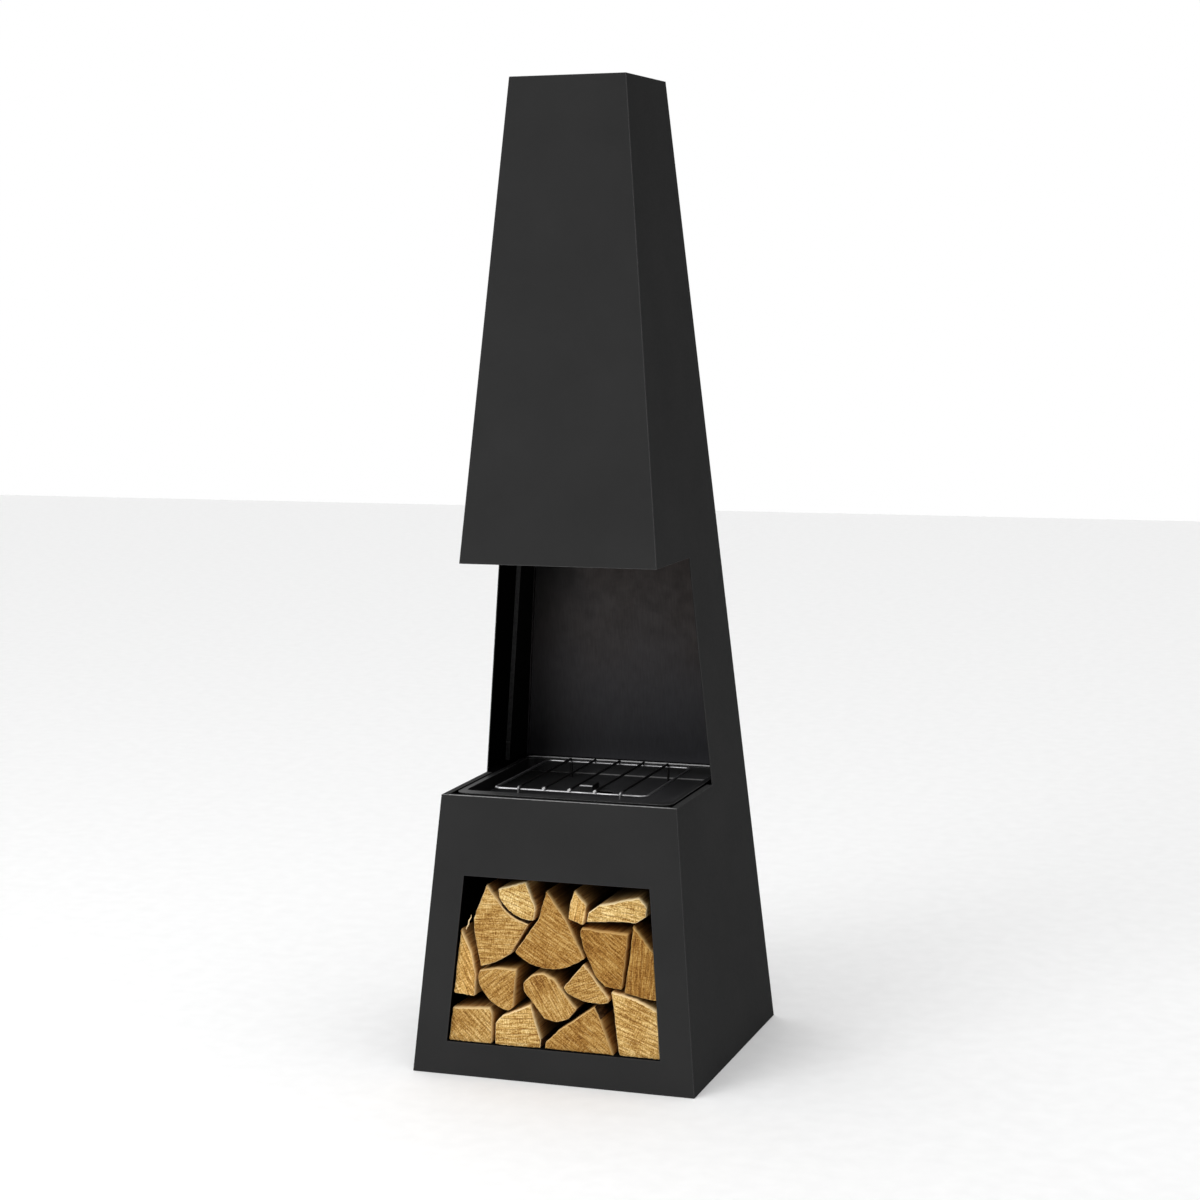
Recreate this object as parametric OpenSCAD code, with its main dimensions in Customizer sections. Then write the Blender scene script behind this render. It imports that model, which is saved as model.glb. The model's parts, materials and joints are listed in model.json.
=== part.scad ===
// Garden chiminea: a tapering sheet-steel fire tower with a log store in its foot.
// Millimetres, +Z up, front towards -Y, origin on the ground under the centre of the foot.

/* [Body] */
// Width across the foot
base_w = 450; // [420:5:500]
// Depth at the foot
base_d = 450; // [440:5:500]
// Height of the flue mouth above the ground
height = 1500; // [1400:10:1600]
// Width across the flue mouth
top_w = 183; // [170:1:220]
// Lean of the front and the back, per millimetre of height
lean = 0.094; // [0.088:0.001:0.098]
// How far the hood stands forward of the wood box
hood_step = 25; // [10:1:30]
// Thickness of the body panels
sheet = 2; // [1.5:0.5:2.5]

/* [Firebox] */
// Height of the fire opening's sill
sill_z = 425; // [415:1:440]
// Height of the hood's lower edge
hood_z = 778; // [758:5:798]
// Front edge of the side walls beside the fire, at the sill
cut_y = 3; // [-37:5:38]
// Forward lean of that edge and of the wings' front edges, per millimetre of height
cut_lean = 0.035; // [0:0.005:0.05]
// Width of the sill's folded hem
hem_w = 10; // [6:1:10]
// Width of the folds at the foot and under the hood
fold_w = 18; // [12:1:22]

/* [Wood store] */
// Height of the store opening's lower edge and of its floor
store_z0 = 50; // [40:1:60]
// Height of the store opening's upper edge
store_z1 = 304; // [300:1:320]
// Sheet left on each side of the store opening
store_margin = 50; // [40:1:52]
// Height of the guard plate between the fire and the logs
guard_z = 356; // [340:1:370]

/* [Heat shield] */
// Gap from the back panel's skin to the shield's face
shield_depth = 21; // [20:1:26]
// Gap from a side panel's skin to a shield wing's face
wing_depth = 9.5; // [9:0.5:9.5]
// Front edge of the shield's wings, at their lower end
wing_y = 78; // [66:2:90]
// Lower edge of the shield's wings
wing_z0 = 430; // [428:1:445]
// Upper edge of the shield
shield_z1 = 880; // [820:5:920]
// Thickness of the lining sheets and the fire tray
liner_t = 1.5; // [1:0.5:1.5]

/* [Fire tray] */
// Place of the tray's middle, which lies pushed over to the left
tray_x = -3.5; // [-3.5:0.5:3.5]
// Half the tray's width over its rim
tray_hw = 173; // [171:0.5:173]
// Front edge of the rim
tray_y0 = -156; // [-162:1:-152]
// Rear edge of the rim
tray_y1 = 161; // [150:1:161]
// Half the well's width inside
well_hw = 164; // [150:1:164]
// Front wall of the well
well_y0 = -135; // [-138:1:-125]
// Rear wall of the well
well_y1 = 142; // [120:1:142]
// Height of the rim's top
rim_z = 423.5; // [423:0.5:424]
// Height of the well's floor
well_z = 402; // [400:0.5:405]

/* [Grill] */
// Half the width of the grill frame, between rod centres
grill_hw = 122; // [110:1:130]
// Half the depth of the grill frame, between rod centres
grill_hd = 117; // [100:1:117]
// Centre of the grill over the tray, from side to side
grill_x = -1; // [-5:1:5]
// Centre of the grill over the tray, from front to back
grill_y = -9; // [-9:1:0]
// Height of the frame rod's centre
grill_z = 427.5; // [427:0.5:432]
// Diameter of the frame rod
frame_d = 4; // [4:0.5:6]
// Diameter of the bars
bar_d = 4; // [3:0.5:5]
// Spacing of the bars
bar_pitch = 41; // [34:1:44]

/* [Hidden] */
// Each log: its name, extra set-back behind the store opening, length, and outline as [x, z] points.
// A third number on a point bows the stretch to the next point outward by that much, as under the bark.
LOGS = [
    ["log_01", 0, 330, [[-169.8, 50], [-99, 50], [-99, 97], [-104, 105], [-165, 101]]],
    ["log_02", 0, 328, [[-94, 50], [-20, 50], [-20, 64], [-38, 115], [-84, 95], [-94, 84]]],
    ["log_03", 0, 334, [[-14, 50], [96, 50], [74, 102], [64, 121], [6, 80], [-14, 60]]],
    ["log_04", 0, 325, [[104, 50], [169, 50], [163, 122], [130, 137], [89, 146], [93, 122]]],
    ["log_05", 1, 322, [[-163.5, 122], [-129, 120], [-128, 152], [-135, 186], [-154, 222], [-159, 174]]],
    ["log_06", 1, 331, [[-75, 102], [-66, 108], [-62, 166], [-93, 167], [-123, 161], [-125, 146, 9]]],
    ["log_07", 0, 326, [[0, 92, 2], [24, 99], [36, 114], [-1, 157], [-18, 165], [-38, 161], [-51, 147],
        [-50, 134], [-40, 124], [-16, 95]]],
    ["log_08", 0, 335, [[20, 137, 6], [85, 127], [87, 135], [45, 184], [13, 145]]],
    ["log_09", 1, 324, [[116.5, 195], [109.5, 144], [136, 139], [161, 136], [155, 208], [121, 247]]],
    ["log_10", 0, 332, [[-120, 166], [-96, 174], [-72, 188], [-44, 236], [-62, 242], [-76, 249.5],
        [-89, 262], [-113, 292], [-134, 239], [-132, 219]]],
    ["log_11", 0, 329, [[-66, 192, 21], [47, 191], [14, 250], [-17, 290], [-23, 267], [-28, 247],
        [-48, 218]]],
    ["log_12", 1, 327, [[44, 205], [63, 167], [79, 151], [106, 148], [115, 233], [39, 237], [37, 229]]],
    ["log_13", 1, 318, [[-95, 286], [-93, 272], [-86, 262, 6], [-36, 241.5], [-33, 261], [-50, 300]]],
    ["log_14", 1, 320, [[18.5, 248], [43, 240], [48, 272], [27, 293], [21, 272]]],
    ["log_15", 0, 333, [[48, 246], [104, 250], [125, 249], [142, 260], [143, 275], [130, 289], [67, 273],
        [51, 262]]]
];

$fn = 48;
side_lean = (base_w - top_w) / 2 / height;
side_tilt = atan(side_lean);
front_tilt = atan(lean);
// Thickness of a leaning front panel, measured level
front_t = sheet / cos(front_tilt);

angle_leg = 20;
angle_t = 2;
ledge_leg = 18;
rail_leg = 35;
// Gap left between neighbouring edges that must not touch
sill_gap = 1;
// Half the length of the store's ledges, and of the shorter ones above them
ledge_y = base_d / 2 - 48;
short_ledge_y = ledge_y - 25;
floor_z = store_z0 - liner_t;
// Where the box's corner angles end, below the hem, and the hood's begin, above its fold
box_angle_z1 = sill_z - 10;
hood_angle_z0 = hood_z + 2 * sheet;
hood_base = -base_d / 2 - hood_step;
shield_z0 = sill_z - 0.5;
shield_return = 7;
bolt_d = 6;
bolt_hole_d = 6.6;
// Thread left standing past a nut, and thread inside a boss
bolt_tip = 2;
boss_thread = 12;
// Room round a bolt in its thread, and round a screw in its hole
thread_room = 0.04;
screw_room = 0.4;
// Length of the cutters for holes through one or two sheets
cutter = 16;
nut_af = 10;
nut_h = 5;
head_d = 11;
head_h = 3.3;
socket_af = 4;
bolt_inset = 12;
bolt_rows = [70, 370, 680, 990, 1300];
boss_d = 12;
boss_x = 95;
boss_rows = [500, 830];
screw_d = 4;
screw_head_d = 8;
screw_head_h = 2.2;
screw_rows = [-150, 150];
clip_rows = [459, 800];
clip_h = 2.5;
rim_r = 16;
well_r = 10;
cowl_x = -24;
cowl_y = -9;
cowl_w = 22;
cowl_l = 34;
cowl_h = 13;
// The tray's air hole, which starts under the cowl and runs out past its right-hand end
hole_x0 = cowl_x + 5;
hole_x1 = cowl_x + cowl_w + 27;
hole_y0 = cowl_y + 3;
hole_y1 = cowl_y + cowl_l - 6;
hole_r = 6;
frame_r = 9;
bend_r = 3.5;
bar_ends = 5;
bar_z = grill_z + (frame_d + bar_d) / 2;
// From the box front's skin back to the logs' ends, which slope with it
log_gap = 5.5;
arc_steps = 8;

// Half width of the body, and the place of each skin, at a height z
function half_w(z) = base_w / 2 - side_lean * z;
function box_y(z) = -base_d / 2 + lean * z;
function hood_y(z) = box_y(z) - hood_step;
function back_y(z) = -box_y(z);
// Front edge of the side walls beside the fire, and of the wings
function cut_edge(z) = cut_y - cut_lean * (z - sill_z);
function wing_edge(z) = wing_y - cut_lean * (z - wing_z0);
// Inner face of a side or back panel with something d deep standing on its skin
function side_in(z, d = sheet) = half_w(z) - d / cos(side_tilt);
function back_in(z, d = sheet) = back_y(z) - d / cos(front_tilt);

// ---- shared shapes ----

// Slab parallel to the right-hand skin, from depth near to depth far behind it
module side_slab(near, far)
    translate([base_w / 2, 0, 0]) rotate([0, -side_tilt, 0])
        translate([-far, -height, -height / 2]) cube([far - near, 2 * height, 2 * height]);

// Slab parallel to the front, whose skin meets the ground at y0
module front_slab(y0, near, far)
    translate([0, y0, 0]) rotate([-front_tilt, 0, 0])
        translate([-height, near, -height / 2]) cube([2 * height, far - near, 2 * height]);

module back_slab(near, far) mirror([0, 1, 0]) front_slab(-base_d / 2, near, far);

// Side outline, [y, z] points, carried from x0 to x1
module across(points, x0 = 0, x1 = base_w)
    translate([x0, 0, 0]) rotate([90, 0, 90]) linear_extrude(x1 - x0) polygon(points);

// Front outline, [x, z] points, carried from y0 to y1
module through(points, y0 = -base_d, y1 = base_d)
    translate([0, y1, 0]) rotate([90, 0, 0]) linear_extrude(y1 - y0) polygon(points);

// Front outline of the body between two heights, with its sides d behind the skin
function body_outline(z0, z1, d = 0) =
    [[-side_in(z0, d), z0], [side_in(z0, d), z0], [side_in(z1, d), z1], [-side_in(z1, d), z1]];

module block(low, high) translate(low) cube(high - low);

module to_left() mirror([1, 0, 0]) children();

module both_sides() for (side = [0, 1]) mirror([side, 0, 0]) children();

// A frame on the back panel's skin at [x, z], with +Z straight out of the sheet
module on_back(x, z) translate([x, back_y(z), z]) rotate([front_tilt - 90, 0, 0]) children();

module round_rect(x0, y0, x1, y1, r) {
    translate([x0 + r, y0]) square([x1 - x0 - 2 * r, y1 - y0]);
    translate([x0, y0 + r]) square([x1 - x0, y1 - y0 - 2 * r]);
    for (x = [x0 + r, x1 - r], y = [y0 + r, y1 - r]) translate([x, y]) circle(r);
}

module hex_nut() difference() {
    cylinder(d = nut_af / cos(30), h = nut_h, $fn = 6);
    translate([0, 0, -1]) cylinder(d = bolt_d + thread_room, h = nut_h + 2);
}

// Low round-headed bolt with a hexagon socket: its head's underside at z = 0, its shank below
module bolt(shank) difference() {
    union() {
        translate([0, 0, -shank]) cylinder(d = bolt_d, h = shank + 0.1);
        cylinder(d = head_d, h = head_h / 3);
        translate([0, 0, head_h / 3]) cylinder(d1 = head_d, d2 = head_d * 0.55, h = head_h * 2 / 3);
    }
    translate([0, 0, head_h / 3]) cylinder(d = socket_af / cos(30), h = head_h, $fn = 6);
}

module bolt_hole() cylinder(d = bolt_hole_d, h = cutter, center = true);
module screw_hole() cylinder(d = screw_d + screw_room, h = cutter, center = true);

module pan_screw(shank) difference() {
    union() {
        translate([0, 0, -shank]) cylinder(d = screw_d, h = shank + 0.1);
        cylinder(d1 = screw_head_d, d2 = screw_head_d * 0.7, h = screw_head_h);
    }
    translate([0, 0, screw_head_h / 2]) cylinder(d = screw_d * 0.6, h = screw_head_h, $fn = 6);
}

// ---- body panels ----

// One sheet from the ground to the flue, cut back beside the fire, with a foot fold and a sill hem
module side_panel() color("#2b2b2c") {
    intersection() {
        side_slab(0, sheet);
        across([
            [box_y(0) + front_t, 0], [box_y(sill_z) + front_t, sill_z],
            [cut_edge(sill_z), sill_z], [cut_edge(hood_z), hood_z],
            [hood_y(hood_z) + front_t, hood_z], [hood_y(height) + front_t, height],
            [back_in(height), height], [back_in(0), 0]
        ]);
    }
    block([half_w(0) - sheet - fold_w, box_y(0) + 2 * sheet, 0],
        [half_w(0) - sheet / 2, back_y(0) - 2 * sheet, sheet]);
    block([half_w(sill_z) - hem_w, box_y(sill_z) + 2 * sheet, sill_z - sheet],
        [half_w(sill_z) - sheet / 2, cut_y - sill_gap, sill_z]);
}

function bolt_x(z) = side_in(z) - bolt_inset;

module back_panel() color("#2b2b2c") difference() {
    union() {
        intersection() {
            back_slab(0, sheet);
            through(body_outline(0, height), 0, base_d);
        }
        foot_fold(back_y(0) - sheet - fold_w, back_y(0) - sheet / 2);
    }
    for (z = bolt_rows) both_sides() on_back(bolt_x(z), z) bolt_hole();
    for (z = boss_rows) both_sides() on_back(boss_x, z) bolt_hole();
}

// The inward fold along the foot of the front or the back, between the side panels' own folds
module foot_fold(y0, y1) {
    x1 = half_w(0) - sheet - fold_w - sill_gap;
    block([-x1, y0, 0], [x1, y1, sheet]);
}

module box_front_panel() color("#2f2f30") {
    hem_x = half_w(sill_z) - hem_w - sill_gap;
    difference() {
        intersection() {
            front_slab(-base_d / 2, 0, sheet);
            through(body_outline(0, sill_z), -base_d, 0);
        }
        through([
            [-half_w(store_z0) + store_margin, store_z0], [half_w(store_z0) - store_margin, store_z0],
            [half_w(store_z1) - store_margin, store_z1], [-half_w(store_z1) + store_margin, store_z1]
        ], -base_d, 0);
    }
    foot_fold(box_y(0) + sheet / 2, box_y(0) + sheet + fold_w);
    block([-hem_x, box_y(sill_z) + sheet / 2, sill_z - sheet], [hem_x, box_y(sill_z) + hem_w, sill_z]);
}

module hood_front_panel() color("#2f2f30") {
    intersection() {
        front_slab(-base_d / 2 - hood_step, 0, sheet);
        through(body_outline(hood_z, height), -base_d, 0);
    }
    block([-side_in(hood_z) + sill_gap, hood_y(hood_z) + sheet / 2, hood_z],
        [side_in(hood_z) - sill_gap, hood_y(hood_z) + sheet + fold_w, hood_z + sheet]);
}

// ---- welded corner angles and ledges ----

// Angle in the corner between the right-hand side and the front skin that meets the ground at y0
module corner_angle(y0, z0, z1) intersection() {
    block([0, -base_d, z0], [base_w, base_d, z1]);
    difference() {
        intersection() {
            side_slab(sheet, sheet + angle_leg);
            front_slab(y0, sheet, sheet + angle_leg);
        }
        intersection() {
            side_slab(sheet + angle_t, 2 * angle_leg);
            front_slab(y0, sheet + angle_t, 2 * angle_leg);
        }
    }
}

module box_angle() color("#3a3a3c") corner_angle(-base_d / 2, sheet + sill_gap, box_angle_z1);
module hood_angle() color("#3a3a3c") corner_angle(hood_base, hood_angle_z0, height - sill_gap);

// Angle up a rear corner, which the back panel is bolted to
module rear_angle() color("#3a3a3c") difference() {
    mirror([0, 1, 0]) corner_angle(-base_d / 2, sheet + sill_gap, height - sill_gap);
    for (z = bolt_rows) on_back(bolt_x(z), z) bolt_hole();
}

module back_bolts() color("#4a4a4c")
    for (z = bolt_rows) both_sides() on_back(bolt_x(z), z) bolt(sheet + angle_t + nut_h + bolt_tip);

module back_nuts() color("#77787a")
    for (z = bolt_rows) both_sides() on_back(bolt_x(z), z)
        translate([0, 0, -sheet - angle_t - nut_h]) hex_nut();

// Level angle on the right-hand side panel, half_l each way from the middle, with its top at z
module side_ledge(z, half_l, screws = [], leg = ledge_leg) color("#3a3a3c") difference() {
    union() {
        block([side_in(z) - leg, -half_l, z - angle_t], [side_in(z) - angle_t / 2, half_l, z]);
        intersection() {
            side_slab(sheet, sheet + angle_t);
            block([0, -half_l, z - ledge_leg], [base_w, half_l, z]);
        }
    }
    for (y = screws) translate([screw_x(z), y, z]) screw_hole();
}

function screw_x(z) = side_in(z) - ledge_leg / 2;

// Flat plate laid on a pair of ledges, its underside at z
module ledge_plate(z) difference() {
    edge = sheet + angle_t + sill_gap;
    x1 = side_in(z, edge);
    y1 = back_in(z + liner_t, edge);
    block([-x1, -y1, z], [x1, y1, z + liner_t]);
    for (y = screw_rows) both_sides() translate([screw_x(z), y, z]) screw_hole();
}

module raised(z, h) translate([0, 0, z]) linear_extrude(h) children();

module plate_screws(z) color("#77787a")
    for (y = screw_rows) both_sides() translate([screw_x(z - liner_t), y, z])
        pan_screw(liner_t + angle_t + screw_d);

module store_floor() color("#343436") ledge_plate(floor_z);
module heat_guard() color("#4d4a47") ledge_plate(guard_z);

// ---- heat shield ----

// All of the body's inside that lies a given depth behind its sides, between two depths from the back
module shield_bulk(side, near, far, z0, z1) intersection() {
    side_slab(side, base_w);
    mirror([1, 0, 0]) side_slab(side, base_w);
    back_slab(near, far);
    block([-base_w, 0, z0], [base_w, base_d, z1]);
}

// Plate behind the fire, its side edges folded forward
module shield_back() color("#55534f") difference() {
    shield_bulk(wing_depth, shield_depth - liner_t, shield_depth + shield_return, shield_z0, shield_z1);
    shield_bulk(wing_depth + liner_t, shield_depth, 2 * shield_depth, shield_z0 - 1, shield_z1 + 1);
}

// Everything d or more behind the wings' leaning front edge, between two heights
module behind_edge(d, z0, z1)
    across([[wing_edge(z0) + d, z0], [base_d, z0], [base_d, z1], [wing_edge(z1) + d, z1]]);

// Side wing with its front edge folded out to the side panel
module shield_wing() color("#1d1d1e") difference() {
    intersection() {
        side_slab(sheet, wing_depth);
        back_slab(wing_depth, base_d);
        behind_edge(0, wing_z0, shield_z1);
    }
    intersection() {
        side_slab(0, wing_depth - liner_t);
        behind_edge(liner_t, wing_z0 - 1, shield_z1 + 1);
    }
}

module wing_clips() color("#606062")
    for (z = clip_rows) both_sides() {
        y1 = wing_edge(z + clip_h);
        block([side_in(z, wing_depth), y1 - liner_t, z], [side_in(z + clip_h), y1, z + clip_h]);
    }

// Threaded bosses welded behind the shield, which hold it off the back panel
module shield_bosses() color("#606062")
    for (z = boss_rows) both_sides() on_back(boss_x, z)
        translate([0, 0, liner_t - shield_depth]) difference() {
            cylinder(d = boss_d, h = shield_depth - liner_t - sheet);
            translate([0, 0, liner_t]) cylinder(d = bolt_d + thread_room, h = shield_depth);
        }

module shield_bolts() color("#4a4a4c")
    for (z = boss_rows) both_sides() on_back(boss_x, z) bolt(sheet + boss_thread);

// ---- fire tray and grill ----

// Angle on the right-hand side panel, under the tray's well
module tray_rail() side_ledge(well_z - liner_t, short_ledge_y, leg = rail_leg);

// The well from above, out by a given distance from its walls' inner faces
module well_outline(out = 0)
    round_rect(-well_hw - out, well_y0 - out, well_hw + out, well_y1 + out, well_r + out);

module fire_tray() color("#3b3b3d") translate([tray_x, 0, 0]) difference() {
    union() {
        raised(rim_z - liner_t, liner_t) round_rect(-tray_hw, tray_y0, tray_hw, tray_y1, rim_r);
        raised(well_z - liner_t, rim_z - well_z) well_outline(liner_t);
    }
    raised(well_z, rim_z) well_outline();
    raised(well_z - cutter / 2, cutter) round_rect(hole_x0, hole_y0, hole_x1, hole_y1, hole_r);
}

// Bridge folded from one strip over the tray's air hole
module air_cowl() color("#464648") translate([tray_x + cowl_x, cowl_y, well_z]) difference() {
    cube([cowl_w, cowl_l, cowl_h]);
    translate([-1, liner_t, -1]) cube([cowl_w + 2, cowl_l - 2 * liner_t, cowl_h + 1 - liner_t]);
}

module rod_x(d, x0, x1) translate([x0, 0, 0]) rotate([0, 90, 0]) cylinder(d = d, h = x1 - x0);
module rod_y(d, y0, y1) translate([0, y0, 0]) rotate([-90, 0, 0]) cylinder(d = d, h = y1 - y0);

module frame_bend(at, turn) translate(at) rotate([0, 0, turn])
    rotate_extrude(angle = 90) translate([frame_r, 0]) circle(d = frame_d);

module grill_frame() color("#8a8a8c") translate([grill_x, grill_y, grill_z]) {
    for (s = [-1, 1]) {
        translate([0, s * grill_hd, 0]) rod_x(frame_d, -grill_hw + frame_r, grill_hw - frame_r);
        translate([s * grill_hw, 0, 0]) rod_y(frame_d, -grill_hd + frame_r, grill_hd - frame_r);
    }
    for (turn = [0, 1]) rotate([0, 0, 180 * turn]) {
        frame_bend([grill_hw - frame_r, grill_hd - frame_r], 0);
        frame_bend([frame_r - grill_hw, grill_hd - frame_r], 90);
    }
}

module grill_bars() color("#8a8a8c")
    for (i = [-1:1]) translate([grill_x + i * bar_pitch, grill_y, bar_z])
        rod_y(bar_d, -grill_hd - bar_ends, grill_hd + bar_ends);

// The two outer bars, bent down past the frame at both ends to stand on the tray's floor
module grill_legs() color("#8a8a8c")
    for (i = [-2, 2]) translate([grill_x + i * bar_pitch, grill_y, bar_z]) {
        leg_y = grill_hd + (frame_d + bar_d) / 2;
        rod_y(bar_d, bend_r - leg_y, leg_y - bend_r);
        for (turn = [0, 180]) rotate([0, 0, turn]) translate([0, leg_y - bend_r, -bend_r]) {
            rotate([90, 0, 90]) rotate_extrude(angle = 90) translate([bend_r, 0]) circle(d = bar_d);
            leg_h = bar_z - bend_r - well_z;
            translate([0, bend_r, -leg_h]) cylinder(d = bar_d, h = leg_h);
        }
    }

// ---- logs ----

// Points of the arc from p to q that stands out by sag on the right of the way from p to q
function bowed(p, q, sag) =
    let (d = [q[0] - p[0], q[1] - p[1]], c = norm(d), r = (c * c / 4 + sag * sag) / (2 * sag),
         out = [d[1], -d[0]] / c, mid = [p[0] + q[0], p[1] + q[1]] / 2, centre = mid - out * (r - sag),
         half = asin(c / (2 * r)))
    [for (i = [0:arc_steps - 1]) let (a = half * (2 * i / arc_steps - 1))
        centre + r * (out * cos(a) + d / c * sin(a))];

function log_outline(points) = [
    for (i = [0:len(points) - 1]) let (p = points[i], q = points[(i + 1) % len(points)])
        each (len(p) > 2 ? bowed(p, q, p[2]) : [p])
];

module split_log(log) color("#c89a4e") intersection() {
    points = log_outline(log[3]);
    front = box_y(max([for (p = points) p[1]])) + log_gap + log[1];
    through(points, -base_d, front + log[2]);
    front_slab(-base_d / 2, log_gap + log[1], base_d);
}

// ---- assembly ----

to_left() side_panel();  // side_panel_left
side_panel();  // side_panel_right
back_panel();
box_front_panel();
hood_front_panel();

to_left() box_angle();  // box_angle_left
box_angle();  // box_angle_right
to_left() hood_angle();  // hood_angle_left
hood_angle();  // hood_angle_right
to_left() rear_angle();  // rear_angle_left
rear_angle();  // rear_angle_right
back_bolts();
back_nuts();

store_floor();
to_left() side_ledge(floor_z, ledge_y, screw_rows);  // floor_ledge_left
side_ledge(floor_z, ledge_y, screw_rows);  // floor_ledge_right
plate_screws(floor_z + liner_t);  // floor_screws
heat_guard();
to_left() side_ledge(guard_z, short_ledge_y, screw_rows);  // guard_ledge_left
side_ledge(guard_z, short_ledge_y, screw_rows);  // guard_ledge_right
plate_screws(guard_z + liner_t);  // guard_screws

shield_back();
to_left() shield_wing();  // shield_wing_left
shield_wing();  // shield_wing_right
wing_clips();
shield_bosses();
shield_bolts();

to_left() tray_rail();  // tray_rail_left
tray_rail();  // tray_rail_right
fire_tray();
air_cowl();
grill_frame();
grill_bars();
grill_legs();

for (log = LOGS) split_log(log);
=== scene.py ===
"""Garden fire tower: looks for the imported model, in its own frame, in metres."""
import json
import math
import random

import bpy
from mathutils import Matrix, Vector, noise


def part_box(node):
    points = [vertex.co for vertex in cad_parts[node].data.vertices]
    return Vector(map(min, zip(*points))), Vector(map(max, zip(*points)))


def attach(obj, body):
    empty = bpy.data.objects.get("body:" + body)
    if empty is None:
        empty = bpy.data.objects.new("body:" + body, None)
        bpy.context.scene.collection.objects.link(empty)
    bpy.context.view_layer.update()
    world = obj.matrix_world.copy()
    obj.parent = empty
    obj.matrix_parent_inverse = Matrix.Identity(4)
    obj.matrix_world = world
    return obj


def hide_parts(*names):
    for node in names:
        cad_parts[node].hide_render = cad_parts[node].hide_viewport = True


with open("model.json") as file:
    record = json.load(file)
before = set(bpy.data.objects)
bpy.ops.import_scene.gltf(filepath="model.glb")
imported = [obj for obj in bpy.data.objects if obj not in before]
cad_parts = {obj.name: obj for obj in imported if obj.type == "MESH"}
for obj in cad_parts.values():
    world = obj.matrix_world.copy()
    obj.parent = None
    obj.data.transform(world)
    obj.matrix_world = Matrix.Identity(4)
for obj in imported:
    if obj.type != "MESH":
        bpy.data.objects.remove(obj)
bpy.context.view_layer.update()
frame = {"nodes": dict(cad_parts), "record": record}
nodes = frame["nodes"]
record = frame["record"]


def rgb(r, g, b):
    """Linear colour of an 8-bit screen colour."""
    return tuple(((c / 255 + 0.055) / 1.055) ** 2.4 if c > 10 else c / 255 / 12.92 for c in (r, g, b)) + (1.0,)


# ---- node helpers ----

class Tree:
    """A node material under construction."""

    def __init__(self, name, **constants):
        self.material = bpy.data.materials.new(name)
        self.material.use_nodes = True
        self.tree = self.material.node_tree
        self.shader = self.tree.nodes["Principled BSDF"]
        self.coords = self.add("ShaderNodeTexCoord")
        for socket, value in constants.items():
            self.shader.inputs[socket.replace("_", " ")].default_value = value

    def add(self, kind, **settings):
        made = self.tree.nodes.new(kind)
        for key, value in settings.items():
            setattr(made, key, value)
        return made

    def link(self, out, into):
        self.tree.links.new(out, into)

    def put(self, socket, value):
        if isinstance(value, (int, float, tuple)):
            socket.default_value = value
        else:
            self.link(value, socket)

    def mapped(self, scale, source="Object"):
        made = self.add("ShaderNodeMapping")
        made.inputs["Scale"].default_value = scale
        self.link(self.coords.outputs[source], made.inputs["Vector"])
        return made.outputs["Vector"]

    def grain(self, vector, scale, detail=3.0, rough=0.5, distort=0.0):
        made = self.add("ShaderNodeTexNoise")
        made.inputs["Scale"].default_value = scale
        made.inputs["Detail"].default_value = detail
        made.inputs["Roughness"].default_value = rough
        made.inputs["Distortion"].default_value = distort
        self.link(vector, made.inputs["Vector"])
        return made.outputs["Fac"]

    def math(self, operation, a, b=0.0, c=0.0):
        made = self.add("ShaderNodeMath", operation=operation)
        for socket, value in zip(made.inputs, (a, b, c)):
            self.put(socket, value)
        return made.outputs[0]

    def span(self, value, from0, from1, to0=0.0, to1=1.0, smooth=False):
        made = self.add("ShaderNodeMapRange", interpolation_type="SMOOTHSTEP" if smooth else "LINEAR")
        for key, number in zip(("From Min", "From Max", "To Min", "To Max"), (from0, from1, to0, to1)):
            made.inputs[key].default_value = number
        self.put(made.inputs["Value"], value)
        return made.outputs[0]

    def ramp(self, value, stops):
        made = self.add("ShaderNodeValToRGB")
        band = made.color_ramp
        while len(band.elements) < len(stops):
            band.elements.new(0.5)
        for element, (at, colour) in zip(band.elements, stops):
            element.position = at
            element.color = colour
        self.link(value, made.inputs["Fac"])
        return made.outputs["Color"]

    def mix(self, factor, a, b, blend="MIX"):
        made = self.add("ShaderNodeMix", data_type="RGBA", blend_type=blend)
        self.put(made.inputs[0], factor)
        self.put(made.inputs[6], a)
        self.put(made.inputs[7], b)
        return made.outputs[2]

    def bump(self, height, strength, distance, after=None):
        made = self.add("ShaderNodeBump")
        made.inputs["Strength"].default_value = strength
        made.inputs["Distance"].default_value = distance
        self.link(height, made.inputs["Height"])
        if after is not None:
            self.link(after, made.inputs["Normal"])
        return made.outputs["Normal"]

    def worn_lit_edge(self, radius, low, high):
        """1 along convex edges and 0 on flat sheet, from how a rounded normal leaves the true one."""
        rounded = self.add("ShaderNodeBevel", samples=6)
        rounded.inputs["Radius"].default_value = radius
        true = self.add("ShaderNodeNewGeometry").outputs["Normal"]
        dot = self.add("ShaderNodeVectorMath", operation="DOT_PRODUCT")
        self.link(rounded.outputs["Normal"], dot.inputs[0])
        self.link(true, dot.inputs[1])
        return self.span(dot.outputs["Value"], high, low)

    def finish(self, colour=None, roughness=None, normal=None):
        for name, value in (("Base Color", colour), ("Roughness", roughness), ("Normal", normal)):
            if value is not None:
                self.link(value, self.shader.inputs[name])
        return self.material


# ---- materials ----

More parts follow.
